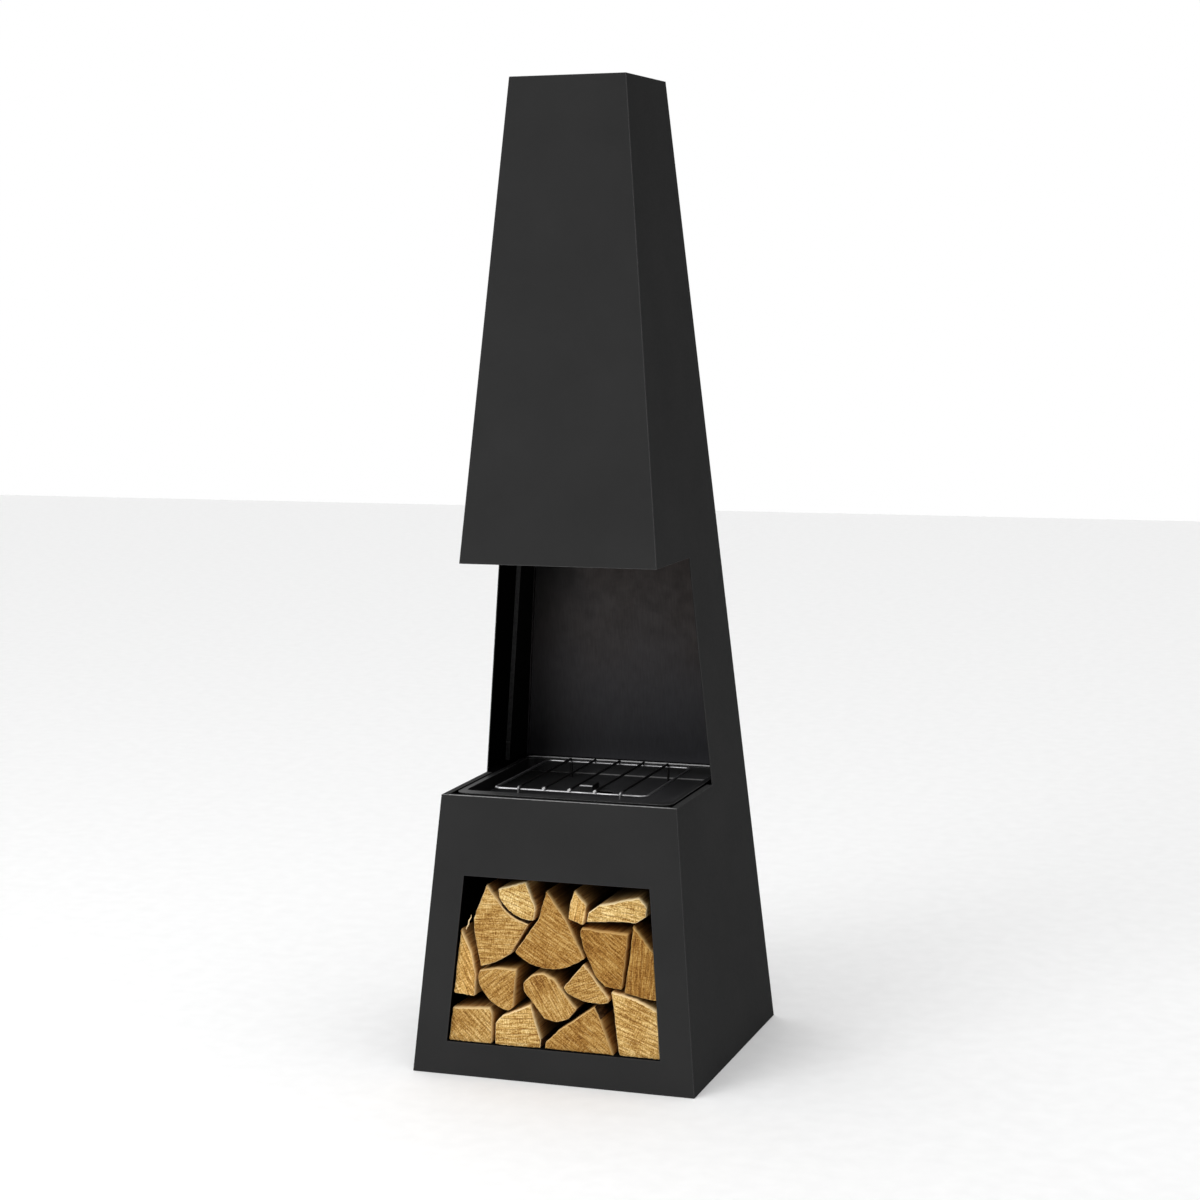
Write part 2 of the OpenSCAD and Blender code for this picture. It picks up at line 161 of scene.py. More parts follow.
def powder_coat(name, base, edge, top_highlight=None, rough=0.68, soot_and_shade=False, highlight_to=None):
    """Matt heat-resistant coating: fine orange peel, faint clouding, edges lighter from wear and a painted
    highlight.
    Faces around the fire that look up are lighter as a painted highlight, as far back as one y if it is given,
    and faces turned in towards the fire are near black from sooting and painted shade."""
    t = Tree(name, Specular_IOR_Level=0.012)
    place = t.coords.outputs["Object"]
    normal = t.add("ShaderNodeSeparateXYZ")
    t.link(t.add("ShaderNodeNewGeometry").outputs["Normal"], normal.inputs[0])
    where = t.add("ShaderNodeSeparateXYZ")
    t.link(place, where.inputs[0])
    cloud = t.grain(place, 7.0, 4.0)
    peel = t.grain(place, 900.0, 2.0)
    dust = t.grain(place, 160.0, 5.0, 0.7)
    dark = tuple(c * 0.93 for c in base[:3]) + (1.0,)
    light = tuple(c * 1.07 for c in base[:3]) + (1.0,)
    colour = t.ramp(cloud, [(0.3, dark), (0.7, light)])
    # Edges lighter: wear and a painted highlight along the bends
    wear_and_highlight = t.math("MULTIPLY", t.worn_lit_edge(0.0016, 0.86, 0.995), t.span(dust, 0.3, 0.5, 0.45, 1.0))
    colour = t.mix(wear_and_highlight, colour, edge)
    # Upward faces above the store lighter: a painted highlight
    if top_highlight:
        upward = t.math("MULTIPLY", t.span(normal.outputs["Z"], 0.6, 0.9), t.span(dust, 0.3, 0.6, 0.35, 1.0))
        upward = t.math("MULTIPLY", upward, t.span(where.outputs["Z"], STORE_TOP, STORE_TOP + 0.02))
        if highlight_to is not None:
            ragged = t.math("ADD", where.outputs["Y"], t.span(dust, 0.3, 0.7, -0.0012, 0.0012))
            upward = t.math("MULTIPLY", upward, t.span(ragged, highlight_to + 0.0005, highlight_to - 0.0005))
        colour = t.mix(upward, colour, top_highlight)
    dusty = t.span(dust, 0.3, 0.7, rough - 0.05, rough + 0.05)
    roughness = t.math("ADD", dusty, t.math("MULTIPLY", wear_and_highlight, -0.12))
    # Faces turned in towards the fire above the tray near black: sooting and painted shade
    if soot_and_shade:
        facing = t.math("MULTIPLY", normal.outputs["X"], where.outputs["X"])
        height = t.math("ADD", where.outputs["Z"], t.span(cloud, 0.3, 0.7, -0.02, 0.02))
        above = t.span(height, 0.40, 0.425, smooth=True)
        sooted_and_shaded = t.math("MULTIPLY", t.span(facing, -0.01, -0.05), above)
        colour = t.mix(sooted_and_shaded, colour, (0.0010, 0.0010, 0.0009, 1.0))
        roughness = t.math("MAXIMUM", roughness, t.math("MULTIPLY", sooted_and_shaded, 0.95))
    return t.finish(colour, roughness, t.bump(peel, 0.12, 0.0001))


def soot_and_shade_wing(name):
    """Lining sheet, near black from sooting and painted shade; its folded front edge is lighter as a painted
    highlight.
    """
    t = Tree(name, Specular_IOR_Level=0.06)
    place = t.coords.outputs["Object"]
    normal = t.add("ShaderNodeSeparateXYZ")
    t.link(t.add("ShaderNodeNewGeometry").outputs["Normal"], normal.inputs[0])
    flakes = t.grain(place, 220.0, 5.0, 0.65)
    # Near black: sooting and painted shade
    colour = t.ramp(flakes, [(0.35, (0.0008, 0.0008, 0.0007, 1)), (0.65, (0.0018, 0.0017, 0.0016, 1))])
    # Front-facing fold lighter: a painted highlight
    fold_highlight = t.math("MULTIPLY", t.span(normal.outputs["Y"], -0.6, -0.9), t.span(flakes, 0.3, 0.6, 0.6, 1.0))
    colour = t.mix(fold_highlight, colour, (0.046, 0.046, 0.046, 1))
    return t.finish(colour, t.span(flakes, 0.3, 0.7, 0.75, 0.95), t.bump(flakes, 0.2, 0.0002))


def heat_plate(name):
    """Uncoated plate browned by the fire above and greyer below from fallen ashes, with faint rolling marks up
    its length and sooting and painted shade over its upper left."""
    t = Tree(name, Metallic=0.55, Specular_IOR_Level=0.3)
    place = t.coords.outputs["Object"]
    where = t.add("ShaderNodeSeparateXYZ")
    t.link(place, where.inputs[0])
    cloud = t.grain(place, 5.0, 5.0, 0.55, 0.6)
    brushed = t.grain(t.mapped((500.0, 500.0, 7.0)), 1.0, 3.0)
    height = t.math("ADD", where.outputs["Z"], t.span(cloud, 0.3, 0.7, -0.07, 0.07))
    tint = t.ramp(t.span(height, 0.42, 0.9), [
        (0.0, (0.044, 0.044, 0.049, 1)), (0.35, (0.042, 0.039, 0.041, 1)), (0.62, (0.038, 0.033, 0.032, 1)),
        (0.82, (0.036, 0.029, 0.027, 1)), (1.0, (0.022, 0.018, 0.016, 1))])
    browned = t.math("MULTIPLY", t.span(where.outputs["X"], 0.02, 0.14, smooth=True),
                     t.span(height, 0.58, 0.7, smooth=True))
    colour = t.mix(t.math("MULTIPLY", browned, 0.6), tint, (0.037, 0.030, 0.028, 1))
    # Upper left darker: sooting and painted shade
    soot_and_shade_x = t.math("ADD", where.outputs["X"], t.span(cloud, 0.3, 0.7, -0.03, 0.03))
    soot_and_shade = t.math("MULTIPLY", t.span(soot_and_shade_x, -0.05, -0.15, smooth=True),
                  t.span(where.outputs["Z"], 0.58, 0.74, 0.0, 0.92))
    colour = t.mix(soot_and_shade, colour, (0.004, 0.004, 0.004, 1))
    colour = t.mix(0.5, colour, t.ramp(brushed, [(0.3, (0.8, 0.8, 0.8, 1)), (0.7, (1.2, 1.2, 1.2, 1))]),
                   "MULTIPLY")
    roughness = t.span(t.grain(place, 60.0, 4.0), 0.3, 0.7, 0.46, 0.6)
    return t.finish(colour, roughness, t.bump(brushed, 0.08, 0.0001))


def enamel(name, worn_lit_to, tray=None, crest=None):
    """Satin dark enamel, worn to the steel along the edges, which also carry a painted highlight. Near the
    tray's floor its right part is lighter as painted light, its rear rim, which curls up slightly, carries a
    painted highlight, and a thin painted highlight runs along the foot of the well's rear wall.
    A crest is the height above which a front face carries a painted highlight."""
    t = Tree(name, Specular_IOR_Level=0.2)
    place = t.coords.outputs["Object"]
    cloud = t.grain(place, 14.0, 5.0)
    flecks = t.grain(place, 420.0, 3.0)
    colour = t.ramp(cloud, [(0.3, (0.013, 0.0132, 0.0135, 1)), (0.7, (0.019, 0.0192, 0.0195, 1))])
    where = t.add("ShaderNodeSeparateXYZ")
    t.link(place, where.inputs[0])
    curl = None
    if tray:
        # Well floor lighter to the right: painted light
        lit_right = t.math("MULTIPLY", t.span(where.outputs["X"], -0.12, -0.01, smooth=True),
                        t.span(where.outputs["Z"], tray["floor"] + 0.012, tray["floor"] + 0.004))
        colour = t.mix(lit_right, colour, (0.036, 0.036, 0.038, 1))
        # Thin painted highlight along the foot of the well's rear wall
        foot_highlight = t.math("MULTIPLY", t.span(where.outputs["Z"], tray["floor"] + 0.0019, tray["floor"] + 0.0015),
                     t.span(where.outputs["Y"], tray["wall"] - 0.0006, tray["wall"] - 0.0002))
        colour = t.mix(t.math("MULTIPLY", foot_highlight, lit_right), colour, (0.30, 0.30, 0.30, 1))
        # Rear rim near white: a painted highlight, broken by noise
        rim_highlight = t.span(where.outputs["Y"], tray["rear"] - RIM_HIGHLIGHT, tray["rear"] - RIM_HIGHLIGHT + 0.001)
        highlight_breaks = t.span(t.grain(place, 130.0, 3.0), 0.3, 0.5, 0.7, 1.0)
        colour = t.mix(t.math("MULTIPLY", rim_highlight, highlight_breaks), colour, PAINTED_HIGHLIGHT)
        curl = t.bump(t.span(where.outputs["Y"], tray["rear"] - RIM_HIGHLIGHT, tray["rear"]), 1.0, 0.018)
    # Edges lighter: wear and a painted highlight
    patches = t.span(t.grain(place, 90.0, 4.0), 0.3, 0.5, 0.4, 1.0)
    colour = t.mix(t.math("MULTIPLY", t.worn_lit_edge(0.0014, 0.85, 0.99), patches), colour, worn_lit_to)
    if crest:
        normal = t.add("ShaderNodeSeparateXYZ")
        t.link(t.add("ShaderNodeNewGeometry").outputs["Normal"], normal.inputs[0])
        # Top strip of front faces near white: a painted highlight
        crest_highlight = t.math("MULTIPLY", t.span(where.outputs["Z"], crest - 0.0002, crest),
                      t.span(normal.outputs["Y"], -0.3, -0.6))
        colour = t.mix(crest_highlight, colour, PAINTED_HIGHLIGHT)
    return t.finish(colour, t.span(cloud, 0.3, 0.7, 0.44, 0.56), t.bump(flecks, 0.08, 0.0001, curl))


def plated_wire(name, base, rough, shaded_behind=None, glint_before=None):
    """Drawn wire with dulled plating in stained patches. Behind one y it is darker as painted shade, and before
    another its cut ends are near white as a painted highlight."""
    t = Tree(name, Metallic=1.0)
    place = t.coords.outputs["Object"]
    stain = t.grain(place, 35.0, 4.0, 0.6)
    fine = t.grain(place, 1100.0, 2.0)
    dull = tuple(c * 0.6 for c in base[:3]) + (1.0,)
    colour = t.ramp(stain, [(0.36, dull), (0.6, base)])
    metal = None
    if shaded_behind is not None:
        where = t.add("ShaderNodeSeparateXYZ")
        t.link(place, where.inputs[0])
        # Darker behind one y: painted shade
        shaded = t.span(where.outputs["Y"], shaded_behind, shaded_behind + 0.006)
        colour = t.mix(shaded, colour, (0.045, 0.044, 0.043, 1))
        if glint_before is not None:
            # Near-white, non-metal ends: a painted highlight
            end_glint = t.span(where.outputs["Y"], glint_before + 0.0006, glint_before)
            colour = t.mix(end_glint, colour, (0.9, 0.9, 0.9, 1))
            metal = t.math("SUBTRACT", 1.0, end_glint)
    roughness = t.span(stain, 0.35, 0.65, rough + 0.14, rough)
    made = t.finish(colour, roughness, t.bump(fine, 0.1, 0.0001))
    if metal is not None:
        t.link(metal, t.shader.inputs["Metallic"])
    return made


def end_grain(name):
    """Sawn end of a split log. The mesh's map runs along and across the growth rings, in metres."""
    t = Tree(name, Specular_IOR_Level=0.2)
    ring = t.add("ShaderNodeTexWave", wave_type="BANDS", bands_direction="Y")
    t.link(t.mapped((30.0, 42.0, 1.0), "UV"), ring.inputs["Vector"])
    for key, number in (("Scale", 1.0), ("Distortion", 3.0), ("Detail", 3.0), ("Detail Scale", 0.9)):
        ring.inputs[key].default_value = number
    strength = t.span(t.grain(t.mapped((40.0, 150.0, 1.0), "UV"), 1.0, 3.0), 0.35, 0.65, 0.15, 1.0)
    line = t.math("MULTIPLY", t.span(ring.outputs["Fac"], 0.2, 0.02), strength)
    grain = t.grain(t.mapped((40.0, 340.0, 1.0), "UV"), 1.0, 4.0, 0.6, 0.3)
    saw = t.grain(t.mapped((520.0, 90.0, 1.0), "UV"), 1.0, 3.0)
    speckle = t.grain(t.mapped((430.0, 430.0, 1.0), "UV"), 1.0, 4.0, 0.75)
    pores = t.grain(t.mapped((1700.0, 1700.0, 1.0), "UV"), 1.0, 2.0, 0.6)
    cloud = t.grain(t.mapped((24.0, 24.0, 1.0), "UV"), 1.0, 4.0)
    lines = t.math("ADD", t.math("MULTIPLY", grain, 0.34), t.math("MULTIPLY", saw, 0.16))
    spots = t.math("ADD", t.math("MULTIPLY", speckle, 0.38), t.math("MULTIPLY", pores, 0.12))
    mark = t.math("ADD", t.math("ADD", lines, spots), t.span(cloud, 0.3, 0.7, -0.03, 0.03))
    colour = t.ramp(mark, [(0.42, rgb(118, 76, 28)), (0.47, rgb(171, 129, 63)), (0.52, rgb(204, 166, 98)),
                           (0.58, rgb(238, 212, 152))])
    colour = t.mix(t.math("MULTIPLY", line, 0.6), colour, rgb(112, 70, 30))
    tone = t.add("ShaderNodeVertexColor", layer_name="tone")
    colour = t.mix(1.0, colour, tone.outputs["Color"], "MULTIPLY")
    crack = t.span(t.grain(t.mapped((26.0, 380.0, 1.0), "UV"), 1.0, 5.0, 0.6, 0.5), 0.71, 0.76)
    colour = t.mix(t.math("MULTIPLY", crack, 0.7), colour, rgb(66, 40, 16))
    sunk = t.math("ADD", t.math("MULTIPLY", crack, 0.5), t.math("MULTIPLY", line, 0.1))
    height = t.math("SUBTRACT", mark, sunk)
    return t.finish(colour, t.span(pores, 0.3, 0.7, 0.74, 0.9), t.bump(height, 0.6, 0.0014))


def split_face(name, fresh_and_lit, pale, deep, streak):
    """Riven side of a log: long fibres down its length, pale near the sawn end, freshly torn and with a painted
    highlight, and darker behind as painted shade.
    """
    t = Tree(name, Specular_IOR_Level=0.2)
    fibres = t.grain(t.mapped((420.0, 9.0, 420.0)), 1.0, 5.0, 0.6)
    broad = t.grain(t.mapped((60.0, 5.0, 60.0)), 1.0, 3.0)
    mark = t.math("ADD", t.math("MULTIPLY", fibres, 0.6), t.math("MULTIPLY", broad, 0.4))
    colour = t.ramp(mark, [(0.38, streak), (0.48, deep), (0.6, pale)])
    tone = t.add("ShaderNodeVertexColor", layer_name="tone")
    depth = t.add("ShaderNodeSeparateColor")
    behind = t.add("ShaderNodeVertexColor", layer_name="depth")
    t.link(behind.outputs["Color"], depth.inputs[0])
    # Pale near the sawn end: freshly torn wood and a painted highlight
    colour = t.mix(depth.outputs[0], fresh_and_lit, colour)
    colour = t.mix(1.0, colour, tone.outputs["Color"], "MULTIPLY")
    # Darker with depth into the stack: painted shade
    shade_behind = t.mix(0.75, colour, rgb(60, 42, 24))
    colour = t.mix(depth.outputs[1], colour, shade_behind)
    return t.finish(colour, t.span(fibres, 0.3, 0.7, 0.7, 0.9), t.bump(fibres, 0.5, 0.0012))


def bark(name):
    t = Tree(name, Specular_IOR_Level=0.2)
    ridges = t.grain(t.mapped((150.0, 35.0, 150.0)), 1.0, 5.0, 0.65)
    colour = t.ramp(ridges, [(0.38, rgb(48, 32, 18)), (0.5, rgb(84, 58, 34)), (0.64, rgb(124, 94, 62))])
    return t.finish(colour, t.span(ridges, 0.3, 0.7, 0.8, 0.95), t.bump(ridges, 0.9, 0.002))


# Painted faces; their edges, lighter from wear and a painted highlight; their upward faces by the fire, lighter
# as a painted highlight; and the frame inside, near black as painted shade
FACE = (0.0300, 0.0300, 0.0301, 1.0)
EDGE_WEAR_AND_HIGHLIGHT = (0.070, 0.070, 0.070, 1.0)
HEM_HIGHLIGHT = (0.038, 0.038, 0.038, 1.0)
# Frame inside the box near black: painted shade
RAIL_SHADE = (0.004, 0.004, 0.004, 1.0)
WIRE = (0.46, 0.46, 0.47, 1.0)
# Near white of the painted highlights on the cowl's crest and the tray's rear rim
PAINTED_HIGHLIGHT = (0.85, 0.85, 0.86, 1.0)
# Height of the strip along the top of the cowl's front that carries a painted highlight
CREST = 0.0017
# A height above the store's opening and below the box's top
STORE_TOP = 0.36
# Depth of the tray's rear rim that carries a painted highlight
RIM_HIGHLIGHT = 0.011
# Width of the tray's rear rim
RIM_WIDTH = 0.019
# Depth of the strip along the front of the box's top hem that carries a painted highlight
HEM_HIGHLIGHT_DEPTH = 0.0042
# How far the box's front leans back for each metre of height
FRONT_LEAN = 0.094

tray_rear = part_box("fire_tray")[1].y
tray_marks = {"rear": tray_rear, "wall": tray_rear - RIM_WIDTH, "floor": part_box("air_cowl")[0].z}
box_front_low, box_front_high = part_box("box_front_panel")
hem_front = box_front_low.y + FRONT_LEAN * box_front_high.z
bars_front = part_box("grill_bars")[0].y
legs_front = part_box("grill_legs")[0].y
looks = {
    "body_paint": powder_coat("body_paint", FACE, EDGE_WEAR_AND_HIGHLIGHT, HEM_HIGHLIGHT, soot_and_shade=True),
    "frame_paint": powder_coat("frame_paint", RAIL_SHADE, (0.012, 0.012, 0.012, 1.0), None, 0.8),
    "shield_black": soot_and_shade_wing("shield_black"),
    "heat_plate": heat_plate("heat_plate"),
    "tray_enamel": enamel("tray_enamel", (0.22, 0.22, 0.22, 1), tray=tray_marks),
    "grill_wire": plated_wire("grill_wire", WIRE, 0.32),
    "fasteners": plated_wire("fasteners", (0.40, 0.40, 0.40, 1.0), 0.38),
}
own_looks = {
    # Hood edges lighter: wear and a painted highlight along its bends and bottom edge
    "hood_front_panel": powder_coat("hood_front_paint", FACE, (0.13, 0.13, 0.13, 1.0), HEM_HIGHLIGHT, soot_and_shade=True),
    # Box front: its top hem carries a bright painted highlight along its front strip
    "box_front_panel": powder_coat("box_front_paint", FACE, EDGE_WEAR_AND_HIGHLIGHT, (0.46, 0.46, 0.46, 1.0), soot_and_shade=True,
                                   highlight_to=hem_front + HEM_HIGHLIGHT_DEPTH),
    "air_cowl": enamel("cowl_enamel", (0.05, 0.05, 0.05, 1), crest=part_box("air_cowl")[1].z - CREST),
    "grill_bars": plated_wire("grill_bars", WIRE, 0.32, bars_front + 0.006, bars_front + 0.0042),
    "grill_legs": plated_wire("grill_legs", WIRE, 0.32, legs_front + 0.008),
    "wing_clips": plated_wire("wing_clips", (0.10, 0.10, 0.10, 1.0), 0.5),
}
log_looks = [
    end_grain("log_end_grain"),
    split_face("log_split_face", rgb(232, 204, 152), rgb(205, 168, 110), rgb(176, 132, 76), rgb(132, 90, 44)),
    bark("log_bark"),
]

SMOOTH = {"grill_frame", "grill_bars", "grill_legs", "back_bolts", "back_nuts", "shield_bolts", "shield_bosses",
          "floor_screws", "guard_screws"}

for part in record["subparts"]:
    made = nodes[part["node"]]
    if part["material_slot"] == "firewood":
        continue
    made.data.materials.clear()
    made.data.materials.append(own_looks.get(part["node"], looks[part["material_slot"]]))
    if part["node"] in SMOOTH:
        continue
    weld = made.modifiers.new("weld", "WELD")
    weld.merge_threshold = 0.00002
    flat = made.modifiers.new("flat", "DECIMATE")
    flat.decimate_type = "DISSOLVE"
    flat.angle_limit = math.radians(1.0)
    edge = made.modifiers.new("edge", "BEVEL")
    edge.width = 0.00045
    edge.segments = 2
    edge.limit_method = "ANGLE"
    edge.angle_limit = math.radians(40)
    edge.harden_normals = True

# ---- firewood ----

# Shades of the split wood, palest first: brightness and warmth
SHADES = {
    "pale": (1.25, -0.05), "light": (1.15, 0.00), "straw": (1.15, 0.05), "golden": (0.95, 0.05),
    "tan": (0.85, 0.10), "brown": (0.75, 0.15), "ruddy": (0.65, 0.20),
}
# Each log: slope of its growth rings across the end in degrees, and the shade of its wood
WOOD = {
    "log_01": (-42, "golden"), "log_02": (4, "light"), "log_03": (-35, "brown"), "log_04": (-20, "light"),
    "log_05": (-62, "straw"), "log_06": (38, "tan"), "log_07": (-58, "tan"), "log_08": (22, "golden"),
    "log_09": (86, "ruddy"), "log_10": (3, "golden"), "log_11": (-30, "brown"), "log_12": (-38, "ruddy"),
    "log_13": (-18, "pale"), "log_14": (80, "straw"), "log_15": (-8, "pale"),
}
STEP = 0.0026
ROUND_PASSES = 1
EDGE_DEPTHS = (0.0, 0.0006, 0.0016, 0.003, 0.006, 0.012, 0.020, 0.032, 0.048, 0.070, 0.100, 0.140, 0.190)
EDGE_INSETS = (0.0010, 0.0005, 0.0002, 0.0)
TOP_INSET = 0.0022
CAP_RINGS = (0.985, 0.95, 0.89, 0.8, 0.68, 0.54, 0.4, 0.26, 0.13)
FIBRE_DEPTH = 0.0013
# How deep from the end the sides are pale, freshly torn and with a painted highlight, and over what length
# behind that they darken as painted shade
FRESH_LIT_DEPTH = 0.012
SHADE_FADE = 0.060
BARK_TURN = (2.0, 24.0)


def end_outline(obj):
    """Corners (x, z) of a log's front end, anticlockwise as seen from the front; y0 and slope of that end,
    which leans with the box front; and the rear end's y."""
    mesh = obj.data
    ends = {}
    after = {}
    for face in mesh.polygons:
        if face.normal.y > -0.9:
            continue
        ring = []
        for i in face.vertices:
            v = mesh.vertices[i].co
            ring.append((round(v.x, 5), round(v.z, 5)))
            ends[v.z] = v.y
        for a, b in zip(ring, ring[1:] + ring[:1]):
            if a in after.get(b, ()):
                after[b].discard(a)
            else:
                after.setdefault(a, set()).add(b)
    start = next(a for a, b in after.items() if b)
    loop = [start]
    while True:
        nxt = next(iter(after[loop[-1]]))
        if nxt == start:
            break
        loop.append(nxt)
    area = sum(a[0] * b[1] - b[0] * a[1] for a, b in zip(loop, loop[1:] + loop[:1]))
    slope = (ends[max(ends)] - ends[min(ends)]) / (max(ends) - min(ends))
    rear = max(v.co.y for v in mesh.vertices)
    corners = [Vector(p) for p in (loop if area > 0 else loop[::-1])]
    return corners, ends[min(ends)] - slope * min(ends), slope, rear


def turn_at(loop, i):
    a, b, c = loop[i - 1], loop[i], loop[(i + 1) % len(loop)]
    return math.degrees(abs((b - a).angle_signed(c - b)))


def fine_outline(loop):
    """The outline in short steps with its corners eased, and for each step whether it is under bark."""
    points, barky = [], []
    for i, a in enumerate(loop):
        b = loop[(i + 1) % len(loop)]
        turns = (turn_at(loop, i), turn_at(loop, (i + 1) % len(loop)))
        is_bark = min(turns) > BARK_TURN[0] and min(turns) < BARK_TURN[1] and (b - a).length < 0.03
        count = max(1, round((b - a).length / STEP))
        for k in range(count):
            points.append(a.lerp(b, k / count))
            barky.append(is_bark)
    for _ in range(ROUND_PASSES):
        points = [(points[i - 1] + 2 * p + points[(i + 1) % len(points)]) / 4 for i, p in enumerate(points)]
    return points, barky


def make_log(name, slope, tone, warmth, seed):
    loop, front_y0, front_slope, rear = end_outline(nodes[name])
    points, barky = fine_outline(loop)
    n = len(points)
    centre = sum(points, Vector((0, 0))) / n
    inward = []
    for i in range(n):
        along = (points[(i + 1) % n] - points[i - 1]).normalized()
        inward.append(Vector((-along.y, along.x)))
    rng = random.Random(seed)
    lean_x, lean_z = rng.uniform(-0.015, 0.015), rng.uniform(-0.01, 0.02)
    shift = Vector((rng.uniform(-9, 9), rng.uniform(-9, 9), rng.uniform(-9, 9)))
    verts, faces, slots, depth_of = [], [], [], []

    def add(x, y, z, depth):
        verts.append((x, y, z))
        depth_of.append(depth)
        return len(verts) - 1

    def side_depth(i, y):
        """How far a point of the side is torn in: long fibres with a few deeper flakes."""
        p = points[i]
        fibre = noise.fractal(Vector((p.x * 260, y * 7, p.y * 260)) + shift, 0.8, 2.1, 4)
        broad = noise.fractal(Vector((p.x * 45, y * 5, p.y * 45)) + shift, 0.9, 2.0, 3)
        return FIBRE_DEPTH * max(0.0, 0.3 + 0.45 * fibre + 0.5 * broad)

    def end_y(p, sign):
        """The sawn end's y at (x, z): saw scores, a slight hump, and at the front the lean of the cut."""
        score = noise.fractal(Vector((p.x * 180, p.y * 180, 3)) + shift, 0.9, 2.1, 4)
        hump = 1 - min(1.0, (p - centre).length / 0.05) ** 2
        rough = sign * (0.0008 + 0.0004 * score - 0.0004 * hump)
        if sign < 0:
            return rear + rough
        tilt = lean_x * (p.x - centre.x) + lean_z * (p.y - centre.y)
        return front_y0 + front_slope * p.y + rough + tilt

    length = rear - front_y0 - front_slope * centre.y
    shallow = len(EDGE_INSETS)
    rows = [(d, 1, EDGE_INSETS[k] if k < shallow else 0.0) for k, d in enumerate(EDGE_DEPTHS)]
    rows += [(d, -1, EDGE_INSETS[k]) for k, d in reversed(list(enumerate(EDGE_DEPTHS[:shallow])))]
    for d, sign, inset in rows:
        depth = d if sign > 0 else length - d
        for i, p in enumerate(points):
            chip = 1 + 0.6 * noise.noise(Vector((p.x * 300, p.y * 300, 7)) + shift)
            upward = max(0.0, -inward[i].y)
            reach = 1 + (TOP_INSET / EDGE_INSETS[0] - 1) * upward
            q = p + inward[i] * (side_depth(i, depth) + inset * chip * reach)
            add(q.x, end_y(q, sign) + sign * d * (1 + 0.6 * upward * (d < 0.004)), q.y, depth)
    for r in range(len(rows) - 1):
        for i in range(n):
            j = (i + 1) % n
            faces.append((r * n + i, r * n + j, (r + 1) * n + j, (r + 1) * n + i))
            slots.append(2 if barky[i] and 1 < r < len(rows) - 3 else 1)
    for row, sign in ((0, 1), (len(rows) - 1, -1)):
        ring = [row * n + i for i in range(n)]
        rim = [Vector((verts[k][0], verts[k][2])) for k in ring]
        for scale in CAP_RINGS:
            new = []
            for p in rim:
                q = centre + (p - centre) * scale
                new.append(add(q.x, end_y(q, sign), q.y, 0.0))
            for i in range(n):
                j = (i + 1) % n
                quad = (ring[i], new[i], new[j], ring[j])
                faces.append(quad if sign > 0 else quad[::-1])
                slots.append(0)
            ring = new
        tip = add(centre.x, end_y(centre, sign), centre.y, 0.0)
        for i in range(n):
            tri = (ring[i], tip, ring[(i + 1) % n])
            faces.append(tri if sign > 0 else tri[::-1])
            slots.append(0)
    mesh = bpy.data.meshes.new(name + "_split")
    mesh.from_pydata(verts, [], faces)
    mesh.polygons.foreach_set("material_index", slots)
    mesh.polygons.foreach_set("use_smooth", [True] * len(faces))
    mesh.set_sharp_from_angle(angle=math.radians(38))
    turn = Matrix.Rotation(-math.radians(slope), 2)
    uv = mesh.uv_layers.new(name="UVMap")
    for corner, loop_data in zip(uv.data, mesh.loops):
        x, _, z = verts[loop_data.vertex_index]
        corner.uv = turn @ (Vector((x, z)) - centre) + Vector((seed * 0.37, seed * 0.71))
    shade = (tone * (1 + warmth * 0.5), tone * (1 - warmth * 0.5), tone * (1 - warmth * 2.0), 1.0)
    colour = mesh.color_attributes.new("tone", "FLOAT_COLOR", "POINT")
    behind = mesh.color_attributes.new("depth", "FLOAT_COLOR", "POINT")
    for entry, other, depth in zip(colour.data, behind.data, depth_of):
        entry.color = shade
        # Depth behind the pale zone, for the painted shade
        shade_behind = min(1.0, max(0.0, depth - FRESH_LIT_DEPTH) / SHADE_FADE)
        other.color = (min(1.0, depth / FRESH_LIT_DEPTH), shade_behind, 0.0, 1.0)
    for material in log_looks:
        mesh.materials.append(material)
    mesh.validate()
    piece = bpy.data.objects.new(name + "_split", mesh)
    bpy.context.scene.collection.objects.link(piece)
    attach(piece, name)
    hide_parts(name)
    return piece


for index, (name, (slope, shade)) in enumerate(WOOD.items()):
    make_log(name, slope, *SHADES[shade], index + 1)


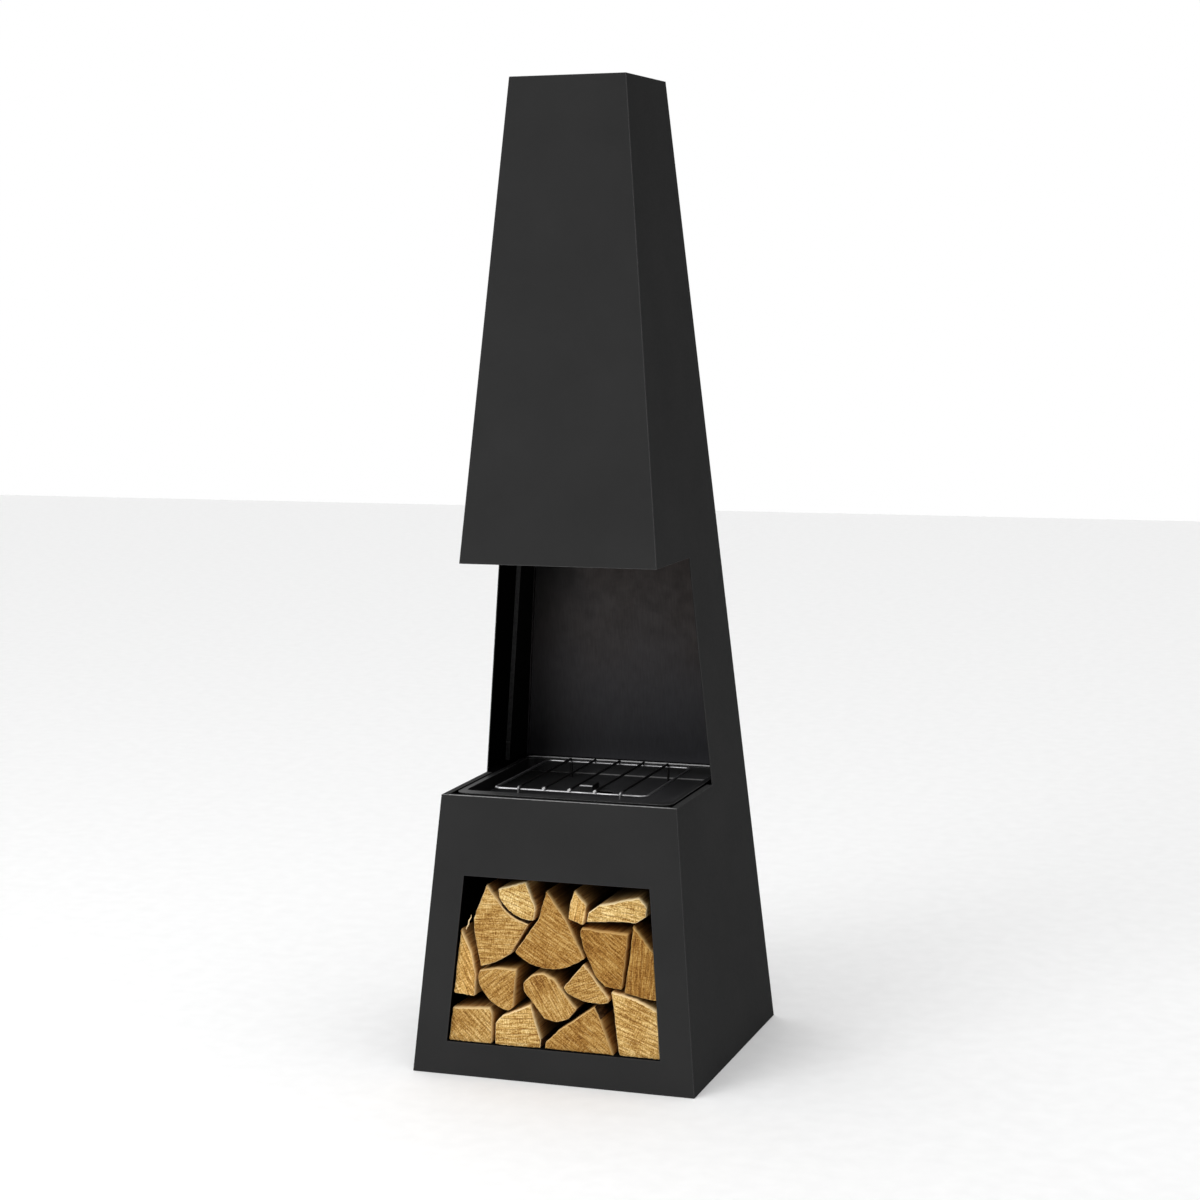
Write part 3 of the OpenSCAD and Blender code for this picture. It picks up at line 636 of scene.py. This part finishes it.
def make_splinter(log, low, high, width, ahead):
    """Torn sliver beside a log, from one (x, z) to another, tapering at both ends."""
    low, high = Vector(low), Vector(high)
    _, front_y0, front_slope, _ = end_outline(nodes[log])
    along = (high - low).normalized()
    across = Vector((-along.y, along.x))
    verts = []
    stations = (0.0, 0.12, 0.35, 0.6, 0.82, 1.0)
    for k, s in enumerate(stations):
        half = width / 2 * (0.15 + 0.85 * math.sin(math.pi * min(1.0, 0.12 + s * 0.8)))
        mid = low + (high - low) * s + across * 0.0007 * math.sin(2.6 * k)
        y = front_y0 + front_slope * mid.y + ahead + 0.004 * s
        for side, lift in ((-1, 0.0), (0, -0.0005), (1, 0.0), (0, 0.0006)):
            p = mid + across * half * side
            verts.append((p.x, y + lift, p.y))
    faces = [(k * 4 + i, k * 4 + (i + 1) % 4, k * 4 + 4 + (i + 1) % 4, k * 4 + 4 + i)
             for k in range(len(stations) - 1) for i in range(4)]
    faces += [(3, 2, 1, 0), tuple(len(verts) - 4 + i for i in range(4))]
    mesh = bpy.data.meshes.new(log + "_splinter")
    mesh.from_pydata(verts, [], faces)
    for key, value in (("tone", (1.25, 1.25, 1.35, 1.0)), ("depth", (0.0, 0.0, 0.0, 1.0))):
        for entry in mesh.color_attributes.new(key, "FLOAT_COLOR", "POINT").data:
            entry.color = value
    mesh.materials.append(log_looks[1])
    piece = bpy.data.objects.new(log + "_splinter", mesh)
    bpy.context.scene.collection.objects.link(piece)
    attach(piece, log)


make_splinter("log_10", (-0.1440, 0.2215), (-0.1372, 0.2430), 0.0019, -0.001)

# ---- floor, light, camera ----

FLOOR_HALF = 9.0
FLOOR_DROP = 0.0003
floor_mesh = bpy.data.meshes.new("floor")
floor_corners = [(x * FLOOR_HALF, y * FLOOR_HALF, -FLOOR_DROP) for x, y in ((-1, -1), (1, -1), (1, 1), (-1, 1))]
floor_mesh.from_pydata(floor_corners, [], [(0, 1, 2, 3)])
floor = bpy.data.objects.new("floor", floor_mesh)
bpy.context.scene.collection.objects.link(floor)
plain = Tree("floor_plain", Specular_IOR_Level=0.1)
speck = plain.grain(plain.coords.outputs["Object"], 30.0, 3.0)
pale = plain.ramp(speck, [(0.3, (0.91, 0.91, 0.91, 1)), (0.7, (0.94, 0.94, 0.94, 1))])
floor_mesh.materials.append(plain.finish(pale, plain.span(speck, 0.3, 0.7, 0.8, 0.9)))

BACKDROP_HEADING = (-0.643, 0.766, 0.0)
ROOM_LIGHT = 0.28
world = bpy.context.scene.world or bpy.data.worlds.new("studio")
bpy.context.scene.world = world
world.use_nodes = True
sky = world.node_tree
backdrop = sky.nodes["Background"]
heading = sky.nodes.new("ShaderNodeTexCoord")
toward = sky.nodes.new("ShaderNodeVectorMath")
toward.operation = "DOT_PRODUCT"
toward.inputs[1].default_value = BACKDROP_HEADING
glow = sky.nodes.new("ShaderNodeMapRange")
glow.interpolation_type = "SMOOTHSTEP"
# The wall behind the object, a little to its left, is lit white, and the rest of the room is dimmer.
for key, number in zip(("From Min", "From Max", "To Min", "To Max"), (0.71, 0.79, ROOM_LIGHT, 1.0)):
    glow.inputs[key].default_value = number
sky.links.new(heading.outputs["Generated"], toward.inputs[0])
sky.links.new(toward.outputs["Value"], glow.inputs["Value"])
sky.links.new(glow.outputs[0], backdrop.inputs["Strength"])
backdrop.inputs["Color"].default_value = (1.0, 1.0, 1.0, 1.0)


def lamp(name, kind, place, aim, energy, **settings):
    data = bpy.data.lights.new(name, kind)
    data.energy = energy
    for key, value in settings.items():
        setattr(data, key, value)
    made = bpy.data.objects.new(name, data)
    made.location = place
    made.rotation_euler = (Vector(aim) - Vector(place)).to_track_quat("-Z", "Y").to_euler()
    bpy.context.scene.collection.objects.link(made)


lamp("key", "AREA", (-1.9, -3.6, 2.4), (0.0, 0.0, 0.5), 74.0, shape="SQUARE", size=2.4)
lamp("ceiling", "SUN", (0.0, -0.6, 4.0), (0.0, 0.0, 0.0), 1.95, angle=math.radians(70))

CAMERA_AT = (1.2754, -3.6782, 1.1973)
YAW, PITCH, ROLL = (math.radians(a) for a in (19.028, -7.184, -0.491))
forward = Vector((-math.sin(YAW) * math.cos(PITCH), math.cos(YAW) * math.cos(PITCH), math.sin(PITCH)))
level = Vector((math.cos(YAW), math.sin(YAW), 0))
above = level.cross(forward)
right = math.cos(ROLL) * level + math.sin(ROLL) * above
up = -math.sin(ROLL) * level + math.cos(ROLL) * above
camera = bpy.data.objects.new("camera", bpy.data.cameras.new("camera"))
camera.data.lens = 75.843
camera.data.sensor_width = 36.0
camera.data.clip_end = 60.0
camera.matrix_world = Matrix.Translation(CAMERA_AT) @ Matrix((right, up, -forward)).transposed().to_4x4()
bpy.context.scene.collection.objects.link(camera)
bpy.context.scene.camera = camera
bpy.context.scene.view_settings.view_transform = "Standard"
